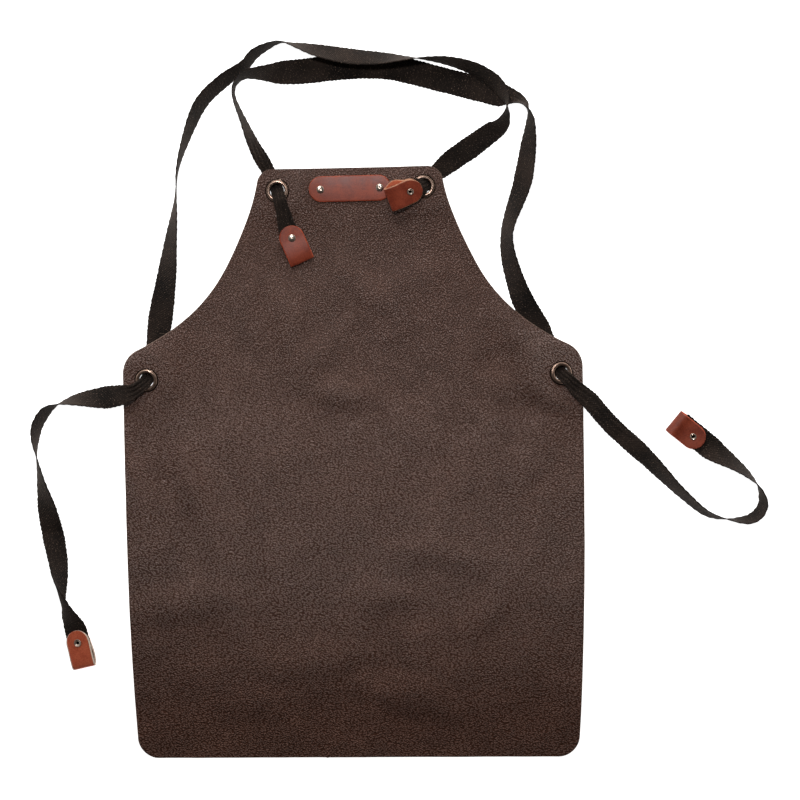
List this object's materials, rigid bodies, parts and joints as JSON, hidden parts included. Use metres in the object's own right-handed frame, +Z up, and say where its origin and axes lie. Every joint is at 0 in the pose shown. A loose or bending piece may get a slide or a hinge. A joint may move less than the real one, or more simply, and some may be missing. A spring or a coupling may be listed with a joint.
{
  "type": "leather bib apron",
  "caption": "Leather bib apron with webbing tapes that cross behind the neck, run through metal eyelets and end in riveted leather tabs, laid flat.",
  "frame": {"origin": "on the table, under the middle of the leather panel", "axes": "+Z up out of the table, towards the apron's front face; +Y from the hem to the bib; +X to the right seen from above"},
  "size_m": [0.9384, 0.9166, 0.0377],
  "materials": {
    "panel_leather": "tumbled dark brown leather with a pebbled grain",
    "cognac_leather": "smooth cognac leather with raw cut edges",
    "black_tape": "black cotton twill webbing, limp, with a ruffled selvage",
    "antique_copper": "antique copper plating on pressed brass",
    "nickel": "dull nickel plating on pressed steel"
  },
  "bodies": {
    "root": {"apron_panel": "panel_leather", "eyelet_bib_left": "antique_copper", "eyelet_bib_right": "antique_copper", "eyelet_side_left": "antique_copper", "eyelet_side_right": "antique_copper", "label_tag": "cognac_leather", "label_rivet_left": "nickel", "label_rivet_right": "nickel", "tab_bib_left": "cognac_leather", "rivet_bib_left": "nickel", "tab_bib_right": "cognac_leather", "rivet_bib_right": "nickel", "tab_tail_left": "cognac_leather", "rivet_tail_left": "nickel", "tab_tail_right": "cognac_leather", "rivet_tail_right": "nickel", "strap_a": "black_tape", "strap_b": "black_tape"}
  },
  "joints": []
}
